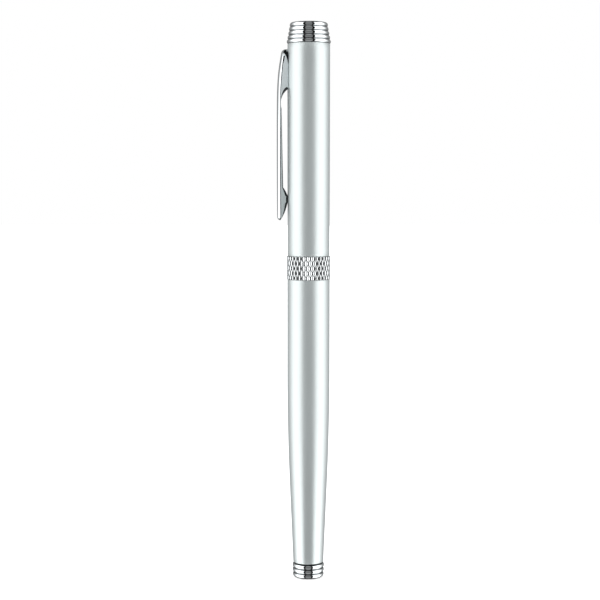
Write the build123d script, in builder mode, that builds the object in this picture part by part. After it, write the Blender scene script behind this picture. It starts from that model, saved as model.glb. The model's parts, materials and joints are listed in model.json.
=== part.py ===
from build123d import *
import os
from math import pi

# Capped rollerball pen, standing on its tail. Millimetres, +Z runs from the tail to the crown,
# the origin is the centre of the flat tail face, and the clip is on the -X side.

# ---- driving sizes -------------------------------------------------------------------------
TOTAL_LENGTH = 137.0
BARREL_RADIUS = 5.22
CAP_RADIUS = 5.19
CAP_LIP_RADIUS = 5.13
TAIL_LENGTH = 3.75            # three chrome beads below the barrel
BARREL_MOUTH_Z = 74.5         # where the cap meets the barrel
BAND_LENGTH = 5.75            # knurled band at the mouth of the cap
CROWN_LENGTH = 5.1            # five chrome beads above the cap tube
WALL = 0.6                    # drawn barrel tube
CAP_WALL = 0.45               # drawn cap tube
GLUE_GAP = 0.01               # radial gap left by a glued or pressed fit
RUNNING_GAP = 0.05            # radial gap of a thread or another moving fit

REFILL_LENGTH = 110.8         # standard metal rollerball refill
REFILL_RADIUS = 2.98
BALL_RADIUS = 0.35
THREAD_LENGTH = 6.0           # section thread held in the barrel

BAND_TOP_Z = BARREL_MOUTH_Z + BAND_LENGTH
CROWN_Z = TOTAL_LENGTH - CROWN_LENGTH
REFILL_REAR_Z = 10.0
REFILL_TIP_Z = REFILL_REAR_Z + REFILL_LENGTH

os.makedirs("parts", exist_ok=True)


# ---- barrel --------------------------------------------------------------------------------
# The barrel is straight near its mouth, curves in gently, and ends in a straight taper.
CURVE_TOP_Z = 51.0
CURVE_FOOT_Z = 24.5
CURVE_MID_Z = 0.5 * (CURVE_TOP_Z + CURVE_FOOT_Z)
TAPER_SLOPE = 0.0432
CURVE_DROP = 0.5 * TAPER_SLOPE * (CURVE_TOP_Z - CURVE_FOOT_Z)
CURVE_FOOT_RADIUS = BARREL_RADIUS - CURVE_DROP
CURVE_MID_RADIUS = BARREL_RADIUS - 0.25 * CURVE_DROP
BARREL_TAIL_RADIUS = CURVE_FOOT_RADIUS - TAPER_SLOPE * (CURVE_FOOT_Z - TAIL_LENGTH)
BORE_RADIUS = BARREL_RADIUS - WALL
MOUTH_CHAMFER = 0.08


def taper_bore(z):
    """Radius of the barrel's bore at height z on its straight taper."""
    return BARREL_TAIL_RADIUS - WALL + TAPER_SLOPE * (z - TAIL_LENGTH)


with BuildPart() as barrel_tube:
    with BuildSketch(Plane.XZ):
        with BuildLine():
            Line((BORE_RADIUS, BARREL_MOUTH_Z), (BARREL_RADIUS, BARREL_MOUTH_Z))
            Line((BARREL_RADIUS, BARREL_MOUTH_Z), (BARREL_RADIUS, CURVE_TOP_Z))
            ThreePointArc(
                (BARREL_RADIUS, CURVE_TOP_Z),
                (CURVE_MID_RADIUS, CURVE_MID_Z),
                (CURVE_FOOT_RADIUS, CURVE_FOOT_Z),
            )
            Line((CURVE_FOOT_RADIUS, CURVE_FOOT_Z), (BARREL_TAIL_RADIUS, TAIL_LENGTH))
            Line((BARREL_TAIL_RADIUS, TAIL_LENGTH), (BARREL_TAIL_RADIUS - WALL, TAIL_LENGTH))
            Line((BARREL_TAIL_RADIUS - WALL, TAIL_LENGTH), (CURVE_FOOT_RADIUS - WALL, CURVE_FOOT_Z))
            ThreePointArc(
                (CURVE_FOOT_RADIUS - WALL, CURVE_FOOT_Z),
                (CURVE_MID_RADIUS - WALL, CURVE_MID_Z),
                (BORE_RADIUS, CURVE_TOP_Z),
            )
            Line((BORE_RADIUS, CURVE_TOP_Z), (BORE_RADIUS, BARREL_MOUTH_Z))
        make_face()
    revolve(axis=Axis.Z)
    mouth_rims = barrel_tube.edges().group_by(Axis.Z)[-1]
    chamfer(mouth_rims.sort_by(SortBy.RADIUS)[-1], length=MOUTH_CHAMFER)

barrel_tube.part.label = "barrel_tube"
export_step(barrel_tube.part, "parts/barrel_tube.step")


# Chrome tail plug: three beads, and a threaded spigot for the insert in the barrel.
TAIL_BEAD_PITCH = TAIL_LENGTH / 3
TAIL_BEAD_RADII = (3.85, 3.91, 3.95)    # from the tail up
TAIL_GROOVE_DEPTH = 0.34
TAIL_FACE_RADIUS = 3.4
SPIGOT_RADIUS = 2.6
SPIGOT_TOP_Z = 8.5

with BuildPart() as tail_plug:
    with BuildSketch(Plane.XZ):
        with BuildLine():
            Polyline(
                (TAIL_BEAD_RADII[-1] - TAIL_GROOVE_DEPTH, TAIL_LENGTH),
                (SPIGOT_RADIUS, TAIL_LENGTH),
                (SPIGOT_RADIUS, SPIGOT_TOP_Z),
                (0, SPIGOT_TOP_Z),
                (0, 0),
                (TAIL_FACE_RADIUS, 0),
            )
            low_point = (TAIL_FACE_RADIUS, 0)
            for number, bead_radius in enumerate(TAIL_BEAD_RADII):
                bead_mid_z = (number + 0.5) * TAIL_BEAD_PITCH
                high_point = (bead_radius - TAIL_GROOVE_DEPTH, (number + 1) * TAIL_BEAD_PITCH)
                ThreePointArc(low_point, (bead_radius, bead_mid_z), high_point)
                low_point = high_point
        make_face()
    revolve(axis=Axis.Z)

tail_plug.part.label = "tail_plug"
export_step(tail_plug.part, "parts/tail_plug.step")


# Brass ring glued in the tail of the barrel, tapped for the tail plug.
INSERT_FOOT_Z = TAIL_LENGTH + 0.1
INSERT_TOP_Z = SPIGOT_TOP_Z

with BuildPart() as tail_insert:
    with BuildSketch(Plane.XZ):
        with BuildLine():
            Polyline(
                (SPIGOT_RADIUS + GLUE_GAP, INSERT_FOOT_Z),
                (taper_bore(INSERT_FOOT_Z) - GLUE_GAP, INSERT_FOOT_Z),
                (taper_bore(INSERT_TOP_Z) - GLUE_GAP, INSERT_TOP_Z),
                (SPIGOT_RADIUS + GLUE_GAP, INSERT_TOP_Z),
                close=True,
            )
        make_face()
    revolve(axis=Axis.Z)

tail_insert.part.label = "tail_insert"
export_step(tail_insert.part, "parts/tail_insert.step")


# Brass bush glued in the mouth of the barrel, tapped for the section.
BUSH_FOOT_Z = 66.0
BUSH_CHAMFER = 0.25
THREAD_RADIUS = 3.9

with BuildPart() as barrel_bush:
    with BuildSketch(Plane.XY.offset(BUSH_FOOT_Z)):
        Circle(BORE_RADIUS - GLUE_GAP)
        Circle(THREAD_RADIUS + RUNNING_GAP, mode=Mode.SUBTRACT)
    extrude(amount=BARREL_MOUTH_Z - BUSH_FOOT_Z)
    bore_rims = barrel_bush.edges().filter_by(GeomType.CIRCLE).group_by(SortBy.RADIUS)[0]
    chamfer(bore_rims, length=BUSH_CHAMFER)

barrel_bush.part.label = "barrel_bush"
export_step(barrel_bush.part, "parts/barrel_bush.step")


# Compression spring on the tail plug, around the refill's neck. Its ends are ground flat.
PLUG_FLANGE_Z = 15.5
SPRING_WIRE_RADIUS = 0.22
SPRING_RADIUS = 2.4
SPRING_COILS = 5.5
SPRING_LENGTH = PLUG_FLANGE_Z - SPIGOT_TOP_Z
SPRING_PITCH = (SPRING_LENGTH - 2 * SPRING_WIRE_RADIUS) / SPRING_COILS
SPRING_FOOT = Plane.XY.offset(SPIGOT_TOP_Z + SPRING_WIRE_RADIUS)

with BuildPart() as refill_spring:
    with BuildLine(SPRING_FOOT):
        coil = Helix(pitch=SPRING_PITCH, height=SPRING_PITCH * SPRING_COILS, radius=SPRING_RADIUS)
    with BuildSketch(Plane(origin=coil @ 0, z_dir=coil % 0)):
        Circle(SPRING_WIRE_RADIUS)
    sweep(path=coil, is_frenet=True)

refill_spring.part.label = "refill_spring"
export_step(refill_spring.part, "parts/refill_spring.step")


# ---- section: the part the fingers hold, screwed into the barrel -----------------------------
COUPLING_FOOT_Z = BARREL_MOUTH_Z - THREAD_LENGTH
COUPLING_TOP_Z = 84.0
COUPLING_SPIGOT_RADIUS = 3.6
COUPLING_CHAMFER = 0.3
REFILL_BORE_RADIUS = 3.1

with BuildPart() as section_coupling:
    with BuildSketch(Plane.XY.offset(COUPLING_FOOT_Z)):
        Circle(THREAD_RADIUS)
    extrude(amount=THREAD_LENGTH)
    with BuildSketch(Plane.XY.offset(BARREL_MOUTH_Z)):
        Circle(COUPLING_SPIGOT_RADIUS)
    extrude(amount=COUPLING_TOP_Z - BARREL_MOUTH_Z)
    chamfer(section_coupling.edges().group_by(Axis.Z)[0], length=COUPLING_CHAMFER)
    with BuildSketch(Plane.XY.offset(COUPLING_FOOT_Z)):
        Circle(REFILL_BORE_RADIUS)
    extrude(amount=COUPLING_TOP_Z - COUPLING_FOOT_Z, mode=Mode.SUBTRACT)

section_coupling.part.label = "section_coupling"
export_step(section_coupling.part, "parts/section_coupling.step")


# Chrome collar at the root of the section. Its groove holds the snap ring.
COLLAR_TOP_Z = 79.0
COLLAR_RADIUS = 4.35
COLLAR_WAIST_RADIUS = 4.3
COLLAR_LIP_Z = BARREL_MOUTH_Z + 1.0
COLLAR_CHAMFER = 0.12
RING_GROOVE_Z = 76.4
RING_HEIGHT = 0.9
RING_GROOVE_CLEARANCE = 0.05
RING_GROOVE_TOP_Z = RING_GROOVE_Z + RING_HEIGHT + 2 * RING_GROOVE_CLEARANCE
RING_GROOVE_RADIUS = 3.9

with BuildPart() as section_collar:
    with BuildSketch(Plane.XZ):
        with BuildLine():
            Polyline(
                (COUPLING_SPIGOT_RADIUS + GLUE_GAP, BARREL_MOUTH_Z),
                (COLLAR_RADIUS, BARREL_MOUTH_Z),
                (COLLAR_RADIUS, COLLAR_LIP_Z),
                (COLLAR_WAIST_RADIUS, COLLAR_LIP_Z + COLLAR_RADIUS - COLLAR_WAIST_RADIUS),
                (COLLAR_WAIST_RADIUS, RING_GROOVE_Z),
                (RING_GROOVE_RADIUS, RING_GROOVE_Z),
                (RING_GROOVE_RADIUS, RING_GROOVE_TOP_Z),
                (COLLAR_WAIST_RADIUS, RING_GROOVE_TOP_Z),
                (COLLAR_WAIST_RADIUS, COLLAR_TOP_Z),
                (COUPLING_SPIGOT_RADIUS + GLUE_GAP, COLLAR_TOP_Z),
                close=True,
            )
        make_face()
    revolve(axis=Axis.Z)
    for end in (0, -1):
        end_rims = section_collar.edges().group_by(Axis.Z)[end]
        chamfer(end_rims.sort_by(SortBy.RADIUS)[-1], length=COLLAR_CHAMFER)

section_collar.part.label = "section_collar"
export_step(section_collar.part, "parts/section_collar.step")


# Open spring ring that holds the cap. It is drawn squeezed to the bore of the cap.
RING_OUTER_RADIUS = 4.37
RING_INNER_RADIUS = RING_GROOVE_RADIUS + RUNNING_GAP
RING_MID_RADIUS = 0.5 * (RING_OUTER_RADIUS + RING_INNER_RADIUS)
RING_MID_Z = 0.5 * (RING_GROOVE_Z + RING_GROOVE_TOP_Z)
RING_EDGE_RADIUS = 0.15
RING_OPENING = 40.0           # degrees

with BuildPart() as snap_ring:
    with BuildSketch(Plane.XZ.rotated((0, 0, RING_OPENING / 2))):
        with Locations((RING_MID_RADIUS, RING_MID_Z)):
            RectangleRounded(RING_OUTER_RADIUS - RING_INNER_RADIUS, RING_HEIGHT, RING_EDGE_RADIUS)
    revolve(axis=Axis.Z, revolution_arc=360 - RING_OPENING)

snap_ring.part.label = "snap_ring"
export_step(snap_ring.part, "parts/snap_ring.step")


# Grip: slightly waisted, bored for the refill, with a seat at each end.
GRIP_TOP_Z = 108.0
GRIP_ROOT_RADIUS = 4.3
GRIP_WAIST_RADIUS = 4.12
GRIP_WAIST_Z = 97.0
GRIP_NOSE_RADIUS = 4.15
NOSE_SEAT_Z = 103.0
NOSE_SEAT_RADIUS = 3.6

with BuildPart() as grip_section:
    with BuildSketch(Plane.XZ):
        with BuildLine():
            Line((0, COLLAR_TOP_Z), (GRIP_ROOT_RADIUS, COLLAR_TOP_Z))
            ThreePointArc(
                (GRIP_ROOT_RADIUS, COLLAR_TOP_Z),
                (GRIP_WAIST_RADIUS, GRIP_WAIST_Z),
                (GRIP_NOSE_RADIUS, GRIP_TOP_Z),
            )
            Line((GRIP_NOSE_RADIUS, GRIP_TOP_Z), (0, GRIP_TOP_Z))
            Line((0, GRIP_TOP_Z), (0, COLLAR_TOP_Z))
        make_face()
    revolve(axis=Axis.Z)
    with BuildSketch(Plane.XY.offset(COLLAR_TOP_Z)):
        Circle(REFILL_BORE_RADIUS)
    extrude(amount=GRIP_TOP_Z - COLLAR_TOP_Z, mode=Mode.SUBTRACT)
    with BuildSketch(Plane.XY.offset(COLLAR_TOP_Z)):
        Circle(COUPLING_SPIGOT_RADIUS + GLUE_GAP)
    extrude(amount=COUPLING_TOP_Z - COLLAR_TOP_Z, mode=Mode.SUBTRACT)
    with BuildSketch(Plane.XY.offset(NOSE_SEAT_Z)):
        Circle(NOSE_SEAT_RADIUS)
    extrude(amount=GRIP_TOP_Z - NOSE_SEAT_Z, mode=Mode.SUBTRACT)

grip_section.part.label = "grip_section"
export_step(grip_section.part, "parts/grip_section.step")


# Chrome nose cone. Its inner shoulder stops the refill.
NECK_Z = REFILL_TIP_Z - 13.0
POINT_Z = REFILL_TIP_Z - 5.6
NECK_BORE_RADIUS = 2.05
NECK_BORE_TOP_Z = POINT_Z + 0.3
NOSE_FLANK = (3.12, 113.2)    # a point half way along the curved flank
NOSE_TIP_Z = 118.0
NOSE_TIP_RADIUS = 1.6
POINT_BORE_RADIUS = 1.3

with BuildPart() as nose_cone:
    with BuildSketch(Plane.XZ):
        with BuildLine():
            Polyline(
                (NOSE_TIP_RADIUS, NOSE_TIP_Z),
                (POINT_BORE_RADIUS, NOSE_TIP_Z),
                (POINT_BORE_RADIUS, NECK_BORE_TOP_Z),
                (NECK_BORE_RADIUS, NECK_BORE_TOP_Z),
                (NECK_BORE_RADIUS, NECK_Z),
                (REFILL_BORE_RADIUS, NECK_Z),
                (REFILL_BORE_RADIUS, NOSE_SEAT_Z),
                (NOSE_SEAT_RADIUS - GLUE_GAP, NOSE_SEAT_Z),
                (NOSE_SEAT_RADIUS - GLUE_GAP, GRIP_TOP_Z),
                (GRIP_NOSE_RADIUS, GRIP_TOP_Z),
            )
            ThreePointArc((GRIP_NOSE_RADIUS, GRIP_TOP_Z), NOSE_FLANK, (NOSE_TIP_RADIUS, NOSE_TIP_Z))
        make_face()
    revolve(axis=Axis.Z)

nose_cone.part.label = "nose_cone"
export_step(nose_cone.part, "parts/nose_cone.step")


# ---- refill --------------------------------------------------------------------------------
# Plug in the rear of the refill: a vented spigot, a flange, and a neck for the spring.
END_NECK_RADIUS = 1.9
END_FLANGE_TOP_Z = 16.3
END_SPIGOT_TOP_Z = 19.0
REFILL_TUBE_BORE_RADIUS = 2.6
REFILL_FIT_RADIUS = REFILL_TUBE_BORE_RADIUS - GLUE_GAP
VENT_RADIUS = 0.4
REFILL_CHAMFER = 0.3

with BuildPart() as refill_end_plug:
    with BuildSketch(Plane.XY.offset(REFILL_REAR_Z)):
        Circle(END_NECK_RADIUS)
    extrude(amount=PLUG_FLANGE_Z - REFILL_REAR_Z)
    with BuildSketch(Plane.XY.offset(PLUG_FLANGE_Z)):
        Circle(REFILL_RADIUS)
    extrude(amount=END_FLANGE_TOP_Z - PLUG_FLANGE_Z)
    with BuildSketch(Plane.XY.offset(END_FLANGE_TOP_Z)):
        Circle(REFILL_FIT_RADIUS)
    extrude(amount=END_SPIGOT_TOP_Z - END_FLANGE_TOP_Z)
    chamfer(refill_end_plug.edges().group_by(Axis.Z)[0], length=REFILL_CHAMFER)
    with BuildSketch(Plane.XY.offset(REFILL_REAR_Z)):
        Circle(VENT_RADIUS)
    extrude(amount=END_SPIGOT_TOP_Z - REFILL_REAR_Z, mode=Mode.SUBTRACT)

refill_end_plug.part.label = "refill_end_plug"
export_step(refill_end_plug.part, "parts/refill_end_plug.step")

with BuildPart() as refill_tube:
    with BuildSketch(Plane.XY.offset(END_FLANGE_TOP_Z)):
        Circle(REFILL_RADIUS)
        Circle(REFILL_TUBE_BORE_RADIUS, mode=Mode.SUBTRACT)
    extrude(amount=NECK_Z - END_FLANGE_TOP_Z)

refill_tube.part.label = "refill_tube"
export_step(refill_tube.part, "parts/refill_tube.step")

# Fibre reservoir that holds the ink, and the thin fibre rod that feeds the point.
RESERVOIR_TOP_Z = 98.0
FEED_FOOT_Z = 90.0
FEED_TOP_Z = 117.0
FEED_RADIUS = 0.6
FEED_BORE_RADIUS = FEED_RADIUS + GLUE_GAP

with BuildPart() as ink_reservoir:
    with BuildSketch(Plane.XY.offset(END_SPIGOT_TOP_Z)):
        Circle(REFILL_FIT_RADIUS)
    extrude(amount=RESERVOIR_TOP_Z - END_SPIGOT_TOP_Z)
    with BuildSketch(Plane.XY.offset(FEED_FOOT_Z)):
        Circle(FEED_BORE_RADIUS)
    extrude(amount=RESERVOIR_TOP_Z - FEED_FOOT_Z, mode=Mode.SUBTRACT)

ink_reservoir.part.label = "ink_reservoir"
export_step(ink_reservoir.part, "parts/ink_reservoir.step")

with BuildPart() as ink_feed:
    with BuildSketch(Plane.XY.offset(FEED_FOOT_Z)):
        Circle(FEED_RADIUS)
    extrude(amount=FEED_TOP_Z - FEED_FOOT_Z)
    chamfer(ink_feed.edges().group_by(Axis.Z)[-1], length=REFILL_CHAMFER)

ink_feed.part.label = "ink_feed"
export_step(ink_feed.part, "parts/ink_feed.step")

# Plastic holder that closes the tube and carries the metal point.
HOLDER_FOOT_Z = 99.5
HOLDER_NECK_RADIUS = 1.95
POINT_STEM_RADIUS = 0.95
POINT_STEM_Z = 111.5

with BuildPart() as tip_holder:
    with BuildSketch(Plane.XY.offset(HOLDER_FOOT_Z)):
        Circle(REFILL_FIT_RADIUS)
    extrude(amount=NECK_Z - HOLDER_FOOT_Z)
    with BuildSketch(Plane.XY.offset(NECK_Z)):
        Circle(HOLDER_NECK_RADIUS)
    extrude(amount=POINT_Z - NECK_Z)
    chamfer(tip_holder.edges().group_by(Axis.Z)[-1], length=REFILL_CHAMFER)
    with BuildSketch(Plane.XY.offset(HOLDER_FOOT_Z)):
        Circle(FEED_BORE_RADIUS)
    extrude(amount=POINT_Z - HOLDER_FOOT_Z, mode=Mode.SUBTRACT)
    with BuildSketch(Plane.XY.offset(POINT_STEM_Z)):
        Circle(POINT_STEM_RADIUS + GLUE_GAP)
    extrude(amount=POINT_Z - POINT_STEM_Z, mode=Mode.SUBTRACT)

tip_holder.part.label = "tip_holder"
export_step(tip_holder.part, "parts/tip_holder.step")

# Stainless point, crimped over the ball.
BALL_Z = REFILL_TIP_Z - BALL_RADIUS
SOCKET_RADIUS = BALL_RADIUS + 0.02
SOCKET_FEED_RADIUS = 0.2
CRIMP_Z = BALL_Z + 0.15
POINT_SHOULDER_RADIUS = 1.2
POINT_CONE_Z = 117.2
RIM_RADIUS = 0.44

with BuildPart() as tip_cone:
    with BuildSketch(Plane.XZ):
        with BuildLine():
            Polyline(
                (0, POINT_STEM_Z),
                (POINT_STEM_RADIUS, POINT_STEM_Z),
                (POINT_STEM_RADIUS, POINT_Z),
                (POINT_SHOULDER_RADIUS, POINT_Z),
                (POINT_SHOULDER_RADIUS, POINT_CONE_Z),
                (RIM_RADIUS, CRIMP_Z),
                (0, CRIMP_Z),
                close=True,
            )
        make_face()
    revolve(axis=Axis.Z)
    with BuildSketch(Plane.XY.offset(POINT_STEM_Z)):
        Circle(FEED_BORE_RADIUS)
    extrude(amount=FEED_TOP_Z - POINT_STEM_Z, mode=Mode.SUBTRACT)
    with BuildSketch(Plane.XY.offset(FEED_TOP_Z)):
        Circle(SOCKET_FEED_RADIUS)
    extrude(amount=BALL_Z - FEED_TOP_Z, mode=Mode.SUBTRACT)
    with Locations((0, 0, BALL_Z)):
        Sphere(SOCKET_RADIUS, mode=Mode.SUBTRACT)

tip_cone.part.label = "tip_cone"
export_step(tip_cone.part, "parts/tip_cone.step")

with BuildPart() as writing_ball:
    with Locations((0, 0, BALL_Z)):
        Sphere(BALL_RADIUS)

writing_ball.part.label = "writing_ball"
export_step(writing_ball.part, "parts/writing_ball.step")


# ---- cap -----------------------------------------------------------------------------------
CAP_BORE_RADIUS = CAP_RADIUS - CAP_WALL
CAP_FIT_RADIUS = CAP_BORE_RADIUS - GLUE_GAP
LIP_EASE_Z = 100.0            # below here the cap draws in slightly to its lip
LINER_TOP_Z = 123.0
CARRIER_TOP_Z = 130.2
SLOT_FOOT_Z = 128.5
SLOT_TOP_Z = 130.25
SLOT_HALF_WIDTH = 1.15

with BuildPart() as cap_tube:
    with BuildSketch(Plane.XZ):
        with BuildLine():
            Polyline(
                (CAP_BORE_RADIUS, BAND_TOP_Z),
                (CAP_LIP_RADIUS, BAND_TOP_Z),
                (CAP_RADIUS, LIP_EASE_Z),
                (CAP_RADIUS, CROWN_Z),
                (CAP_BORE_RADIUS, CROWN_Z),
                close=True,
            )
        make_face()
    revolve(axis=Axis.Z)
    with BuildSketch(Plane.YZ):
        with Locations((0, 0.5 * (SLOT_FOOT_Z + SLOT_TOP_Z))):
            Rectangle(2 * SLOT_HALF_WIDTH, SLOT_TOP_Z - SLOT_FOOT_Z)
    extrude(amount=-2 * CAP_RADIUS, mode=Mode.SUBTRACT)

cap_tube.part.label = "cap_tube"
export_step(cap_tube.part, "parts/cap_tube.step")


# Diamond teeth of the knurled band: tall diamonds in staggered rows.
KNURL_PEAK_RADIUS = 5.38
KNURL_VALLEY_RADIUS = 4.98
KNURL_COUNT = 31              # teeth around each row
KNURL_ROW_PITCH = 1.2
KNURL_TURN = 274.7            # degrees round to a tooth of the even rows
TOOTH_HEIGHT = 2 * KNURL_ROW_PITCH
TOOTH_WIDTH = 2 * pi * KNURL_VALLEY_RADIUS / KNURL_COUNT
TOOTH_SINK = 0.03
TOOTH_TAPER = 45.0
BAND_MID_Z = 0.5 * (BARREL_MOUTH_Z + BAND_TOP_Z)
FLANGE_RADIUS = 4.88
FLANGE_LENGTH = 0.5

with BuildPart() as knurl_tooth:
    with BuildSketch(Plane.YZ.offset(KNURL_VALLEY_RADIUS - TOOTH_SINK)):
        with BuildLine():
            Polyline(
                (0.5 * TOOTH_WIDTH, 0),
                (0, 0.5 * TOOTH_HEIGHT),
                (-0.5 * TOOTH_WIDTH, 0),
                (0, -0.5 * TOOTH_HEIGHT),
                close=True,
            )
        make_face()
    extrude(amount=KNURL_PEAK_RADIUS - KNURL_VALLEY_RADIUS + TOOTH_SINK, taper=TOOTH_TAPER)

with BuildPart() as cap_band:
    with BuildSketch(Plane.XY.offset(BARREL_MOUTH_Z)):
        Circle(KNURL_VALLEY_RADIUS)
    extrude(amount=BAND_LENGTH)
    for row in range(-2, 3):
        row_turn = KNURL_TURN + 180 / KNURL_COUNT * (row % 2)
        with Locations((0, 0, BAND_MID_Z + row * KNURL_ROW_PITCH)):
            with PolarLocations(0, KNURL_COUNT, start_angle=row_turn):
                add(knurl_tooth.part)
    with BuildSketch(Plane.XY.offset(BARREL_MOUTH_Z)):
        Circle(2 * KNURL_PEAK_RADIUS)
        Circle(CAP_FIT_RADIUS + GLUE_GAP, mode=Mode.SUBTRACT)
    extrude(amount=BAND_LENGTH, mode=Mode.INTERSECT)
    with BuildSketch(Plane.XY.offset(BARREL_MOUTH_Z)):
        Circle(FLANGE_RADIUS + GLUE_GAP)
    extrude(amount=FLANGE_LENGTH, mode=Mode.SUBTRACT)

cap_band.part.label = "cap_band"
export_step(cap_band.part, "parts/cap_band.step")


# Brass bush that carries the band and guides the cap over the section.
MOUTH_BORE_RADIUS = 4.42
MOUTH_BUSH_TOP_Z = 92.0
SNAP_GROOVE_RADIUS = 4.52
SNAP_GROOVE_EASE = 0.2        # each side of the snap ring

with BuildPart() as cap_mouth_bush:
    with BuildSketch(Plane.XY.offset(BARREL_MOUTH_Z)):
        Circle(FLANGE_RADIUS)
    extrude(amount=FLANGE_LENGTH)
    with BuildSketch(Plane.XY.offset(BARREL_MOUTH_Z + FLANGE_LENGTH)):
        Circle(CAP_FIT_RADIUS)
    extrude(amount=MOUTH_BUSH_TOP_Z - BARREL_MOUTH_Z - FLANGE_LENGTH)
    with BuildSketch(Plane.XY.offset(BARREL_MOUTH_Z)):
        Circle(MOUTH_BORE_RADIUS)
    extrude(amount=MOUTH_BUSH_TOP_Z - BARREL_MOUTH_Z, mode=Mode.SUBTRACT)
    with BuildSketch(Plane.XY.offset(RING_GROOVE_Z - SNAP_GROOVE_EASE)):
        Circle(SNAP_GROOVE_RADIUS)
    extrude(amount=RING_HEIGHT + 2 * SNAP_GROOVE_EASE, mode=Mode.SUBTRACT)

cap_mouth_bush.part.label = "cap_mouth_bush"
export_step(cap_mouth_bush.part, "parts/cap_mouth_bush.step")


# Plastic liner that closes round the nose so that the ink doesn't dry.
LINER_FOOT_Z = 99.0
LINER_BORE_RADIUS = 4.3
LINER_CONE_Z = 110.0
LINER_END_RADIUS = 2.4
LINER_END_Z = 122.2

with BuildPart() as inner_cap:
    with BuildSketch(Plane.XZ):
        with BuildLine():
            Polyline(
                (LINER_BORE_RADIUS, LINER_FOOT_Z),
                (CAP_FIT_RADIUS, LINER_FOOT_Z),
                (CAP_FIT_RADIUS, LINER_TOP_Z),
                (0, LINER_TOP_Z),
                (0, LINER_END_Z),
                (LINER_END_RADIUS, LINER_END_Z),
                (LINER_BORE_RADIUS, LINER_CONE_Z),
                close=True,
            )
        make_face()
    revolve(axis=Axis.Z)

inner_cap.part.label = "inner_cap"
export_step(inner_cap.part, "parts/inner_cap.step")


# Plug in the top of the cap tube. The clip's tongue sits in its notch.
SCREW_RADIUS = 1.25
SCREW_HEAD_RADIUS = 2.2
SCREW_HEAD_Z = 123.3
SCREW_HEAD_LENGTH = 1.5
SCREW_TOP_Z = 134.0
NOTCH_DEPTH = 1.14
SEAT_DEPTH = SCREW_HEAD_Z + SCREW_HEAD_LENGTH - LINER_TOP_Z

with BuildPart() as clip_carrier:
    with BuildSketch(Plane.XY.offset(LINER_TOP_Z)):
        Circle(CAP_FIT_RADIUS)
        Circle(SCREW_RADIUS + GLUE_GAP, mode=Mode.SUBTRACT)
    extrude(amount=CARRIER_TOP_Z - LINER_TOP_Z)
    with BuildSketch(Plane.XY.offset(LINER_TOP_Z)):
        Circle(SCREW_HEAD_RADIUS + GLUE_GAP)
    extrude(amount=SEAT_DEPTH, mode=Mode.SUBTRACT)
    with BuildSketch(Plane.XY.offset(SLOT_FOOT_Z)):
        with Locations((-CAP_BORE_RADIUS, 0)):
            Rectangle(2 * NOTCH_DEPTH, 2 * SLOT_HALF_WIDTH)
    extrude(amount=CARRIER_TOP_Z - SLOT_FOOT_Z, mode=Mode.SUBTRACT)

clip_carrier.part.label = "clip_carrier"
export_step(clip_carrier.part, "parts/clip_carrier.step")


# Screw from inside the cap that pulls the crown down on the tube.
SCREW_SLOT_WIDTH = 0.6
SCREW_SLOT_DEPTH = 0.7
SCREW_CHAMFER = 0.2

with BuildPart() as crown_screw:
    with BuildSketch(Plane.XY.offset(SCREW_HEAD_Z)):
        Circle(SCREW_HEAD_RADIUS)
    extrude(amount=SCREW_HEAD_LENGTH)
    with BuildSketch(Plane.XY.offset(SCREW_HEAD_Z + SCREW_HEAD_LENGTH)):
        Circle(SCREW_RADIUS)
    extrude(amount=SCREW_TOP_Z - SCREW_HEAD_Z - SCREW_HEAD_LENGTH)
    for end in (0, -1):
        chamfer(crown_screw.edges().group_by(Axis.Z)[end], length=SCREW_CHAMFER)
    with BuildSketch(Plane.XY.offset(SCREW_HEAD_Z)):
        Rectangle(3 * SCREW_HEAD_RADIUS, SCREW_SLOT_WIDTH)
    extrude(amount=SCREW_SLOT_DEPTH, mode=Mode.SUBTRACT)

crown_screw.part.label = "crown_screw"
export_step(crown_screw.part, "parts/crown_screw.step")


# Chrome crown: five beads, each smaller than the one below, and a spigot in the tube.
CROWN_BEAD_RADII = (5.36, 5.17, 4.975, 4.80, 4.63)
CROWN_BEAD_PITCH = CROWN_LENGTH / len(CROWN_BEAD_RADII)
CROWN_GROOVE_DEPTH = 0.34
CROWN_FACE_RADIUS = 4.2
CROWN_BORE_TOP_Z = 134.3

with BuildPart() as cap_crown:
    with BuildSketch(Plane.XZ):
        with BuildLine():
            low_point = (CROWN_BEAD_RADII[0] - CROWN_GROOVE_DEPTH, CROWN_Z)
            Polyline(
                (CROWN_FACE_RADIUS, TOTAL_LENGTH),
                (0, TOTAL_LENGTH),
                (0, CARRIER_TOP_Z),
                (CAP_FIT_RADIUS, CARRIER_TOP_Z),
                (CAP_FIT_RADIUS, CROWN_Z),
                low_point,
            )
            for number, bead_radius in enumerate(CROWN_BEAD_RADII):
                bead_mid_z = CROWN_Z + (number + 0.5) * CROWN_BEAD_PITCH
                if number + 1 < len(CROWN_BEAD_RADII):
                    groove_radius = CROWN_BEAD_RADII[number + 1] - 0.5 * CROWN_GROOVE_DEPTH
                    high_point = (groove_radius, CROWN_Z + (number + 1) * CROWN_BEAD_PITCH)
                else:
                    high_point = (CROWN_FACE_RADIUS, TOTAL_LENGTH)
                ThreePointArc(low_point, (bead_radius, bead_mid_z), high_point)
                low_point = high_point
        make_face()
    revolve(axis=Axis.Z)
    with BuildSketch(Plane.XY.offset(CARRIER_TOP_Z)):
        Circle(SCREW_RADIUS + GLUE_GAP)
    extrude(amount=CROWN_BORE_TOP_Z - CARRIER_TOP_Z, mode=Mode.SUBTRACT)

cap_crown.part.label = "cap_crown"
export_step(cap_crown.part, "parts/cap_crown.step")


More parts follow.
